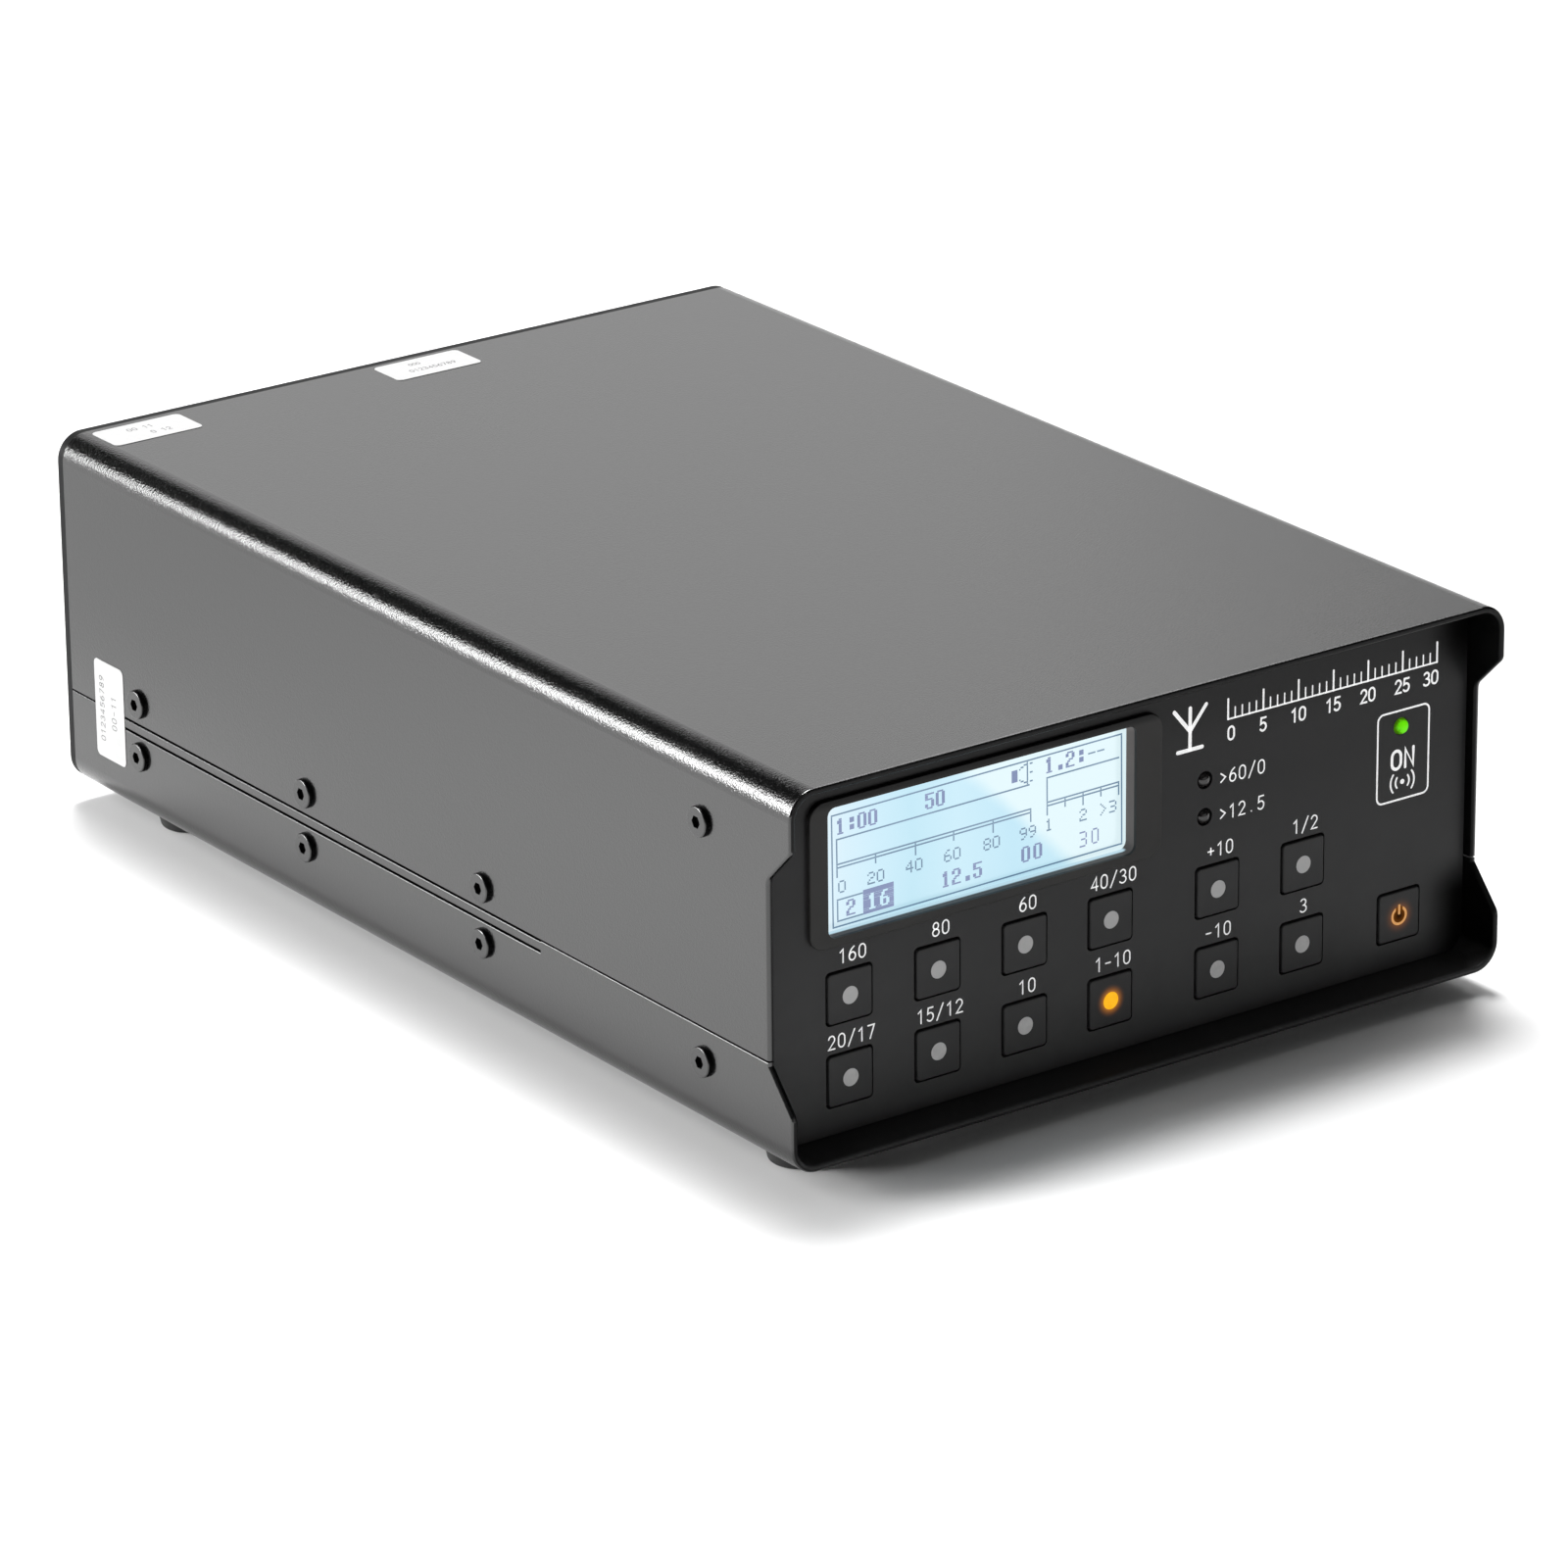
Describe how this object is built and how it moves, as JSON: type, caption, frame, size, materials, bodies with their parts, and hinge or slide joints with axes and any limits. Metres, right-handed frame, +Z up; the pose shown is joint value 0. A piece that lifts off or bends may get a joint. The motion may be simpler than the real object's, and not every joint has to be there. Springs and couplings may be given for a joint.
{
  "type": "hf linear amplifier",
  "caption": "Flat sheet-metal case with a recessed front panel, square push keys, a backlit display and indicator lamps; rear fans, coaxial and supply sockets.",
  "frame": {"origin": "bottom centre of the whole part, on the surface the feet stand on", "axes": "+Z up, the key panel faces -Y, +X to the right seen from the front"},
  "size_m": [0.1518, 0.242, 0.0711],
  "materials": {
    "case_paint": "fine textured powder coat, satin black",
    "panel_black": "smooth matt black anodised plate",
    "rear_black": "satin black anodised plate",
    "bezel_black": "satin black moulding",
    "lcd_glass": "backlit display glass, pale blue",
    "key_black": "fine matt black moulding",
    "window_grey": "milky light window",
    "window_amber": "lit amber window",
    "symbol_amber": "lit orange symbol",
    "led_dark": "unlit smoked diode",
    "led_green": "lit green diode",
    "board_green": "solder resist on glass fibre",
    "switch_black": "moulded switch body",
    "steel": "bright steel",
    "screw_black": "black oxide steel",
    "sink_black": "black anodised extrusion",
    "transistor": "ceramic package on a copper flange",
    "ferrite": "sintered ferrite",
    "coil_copper": "enamelled copper winding",
    "relay_blue": "relay cover",
    "fan_black": "moulded fan plastic",
    "chrome_wire": "bright wire",
    "nickel": "nickel plated brass",
    "ptfe": "white insulator",
    "contact_brass": "gold flashed brass",
    "socket_plastic": "moulded nylon",
    "rubber": "soft black rubber",
    "label_white": "white paper sticker",
    "lead_insulation": "silicone lead"
  },
  "bodies": {
    "root": {"band_relays": "relay_blue", "blank_labels": "label_white", "board_screws": "steel", "board_spacers": "steel", "bottom_cover": "case_paint", "case_screws": "screw_black", "coax_insulators": "ptfe", "coax_shells": "nickel", "control_jacks": "nickel", "dc_socket": "socket_plastic", "display_bezel": "bezel_black", "fan_frames": "fan_black", "fan_guards": "chrome_wire", "fan_screws": "steel", "feet": "rubber", "filter_board": "board_green", "filter_coils": "coil_copper", "front_board": "board_green", "front_panel": "panel_black", "ground_stud": "nickel", "heat_sink": "sink_black", "internal_leads": "lead_insulation", "lcd_module": "lcd_glass", "pa_board": "board_green", "power_transistors": "transistor", "rear_panel": "rear_black", "rf_transformers": "ferrite", "socket_contacts": "contact_brass", "status_leds": "led_dark", "tact_switches": "switch_black", "top_cover": "case_paint", "transmit_led": "led_green"},
    "band_key_1": {"band_key_1": "key_black", "band_key_window_1": "window_grey"},
    "band_key_2": {"band_key_2": "key_black", "band_key_window_2": "window_grey"},
    "band_key_3": {"band_key_3": "key_black", "band_key_window_3": "window_grey"},
    "band_key_4": {"band_key_4": "key_black", "band_key_window_4": "window_grey"},
    "band_key_5": {"band_key_5": "key_black", "band_key_window_5": "window_grey"},
    "band_key_6": {"band_key_6": "key_black", "band_key_window_6": "window_grey"},
    "band_key_7": {"band_key_7": "key_black", "band_key_window_7": "window_grey"},
    "band_key_8": {"band_key_8": "key_black", "band_key_window_8": "window_amber"},
    "menu_key_1": {"menu_key_1": "key_black", "menu_key_window_1": "window_grey"},
    "menu_key_2": {"menu_key_2": "key_black", "menu_key_window_2": "window_grey"},
    "menu_key_3": {"menu_key_3": "key_black", "menu_key_window_3": "window_grey"},
    "menu_key_4": {"menu_key_4": "key_black", "menu_key_window_4": "window_grey"},
    "power_key": {"power_key": "key_black", "power_symbol": "symbol_amber"},
    "fan_rotor_left": {"fan_rotor_left": "fan_black"},
    "fan_rotor_right": {"fan_rotor_right": "fan_black"}
  },
  "joints": [
    {"name": "band_key_1_press", "type": "slide", "parent": "root", "child": "band_key_1", "axis": [0, 1, 0], "range_m": [0, 0.0004], "stiffness_N_per_m": 1500, "springref_m": -0.0002},
    {"name": "band_key_2_press", "type": "slide", "parent": "root", "child": "band_key_2", "axis": [0, 1, 0], "range_m": [0, 0.0004], "stiffness_N_per_m": 1500, "springref_m": -0.0002},
    {"name": "band_key_3_press", "type": "slide", "parent": "root", "child": "band_key_3", "axis": [0, 1, 0], "range_m": [0, 0.0004], "stiffness_N_per_m": 1500, "springref_m": -0.0002},
    {"name": "band_key_4_press", "type": "slide", "parent": "root", "child": "band_key_4", "axis": [0, 1, 0], "range_m": [0, 0.0004], "stiffness_N_per_m": 1500, "springref_m": -0.0002},
    {"name": "band_key_5_press", "type": "slide", "parent": "root", "child": "band_key_5", "axis": [0, 1, 0], "range_m": [0, 0.0004], "stiffness_N_per_m": 1500, "springref_m": -0.0002},
    {"name": "band_key_6_press", "type": "slide", "parent": "root", "child": "band_key_6", "axis": [0, 1, 0], "range_m": [0, 0.0004], "stiffness_N_per_m": 1500, "springref_m": -0.0002},
    {"name": "band_key_7_press", "type": "slide", "parent": "root", "child": "band_key_7", "axis": [0, 1, 0], "range_m": [0, 0.0004], "stiffness_N_per_m": 1500, "springref_m": -0.0002},
    {"name": "band_key_8_press", "type": "slide", "parent": "root", "child": "band_key_8", "axis": [0, 1, 0], "range_m": [0, 0.0004], "stiffness_N_per_m": 1500, "springref_m": -0.0002},
    {"name": "menu_key_1_press", "type": "slide", "parent": "root", "child": "menu_key_1", "axis": [0, 1, 0], "range_m": [0, 0.0004], "stiffness_N_per_m": 1500, "springref_m": -0.0002},
    {"name": "menu_key_2_press", "type": "slide", "parent": "root", "child": "menu_key_2", "axis": [0, 1, 0], "range_m": [0, 0.0004], "stiffness_N_per_m": 1500, "springref_m": -0.0002},
    {"name": "menu_key_3_press", "type": "slide", "parent": "root", "child": "menu_key_3", "axis": [0, 1, 0], "range_m": [0, 0.0004], "stiffness_N_per_m": 1500, "springref_m": -0.0002},
    {"name": "menu_key_4_press", "type": "slide", "parent": "root", "child": "menu_key_4", "axis": [0, 1, 0], "range_m": [0, 0.0004], "stiffness_N_per_m": 1500, "springref_m": -0.0002},
    {"name": "power_key_press", "type": "slide", "parent": "root", "child": "power_key", "axis": [0, 1, 0], "range_m": [0, 0.0004], "stiffness_N_per_m": 1500, "springref_m": -0.0002},
    {"name": "fan_left_spin", "type": "hinge", "parent": "root", "child": "fan_rotor_left", "pos_m": [-0.049, 0.098, 0.047], "axis": [0, 1, 0], "continuous": true},
    {"name": "fan_right_spin", "type": "hinge", "parent": "root", "child": "fan_rotor_right", "pos_m": [-0.007, 0.098, 0.047], "axis": [0, 1, 0], "continuous": true}
  ]
}
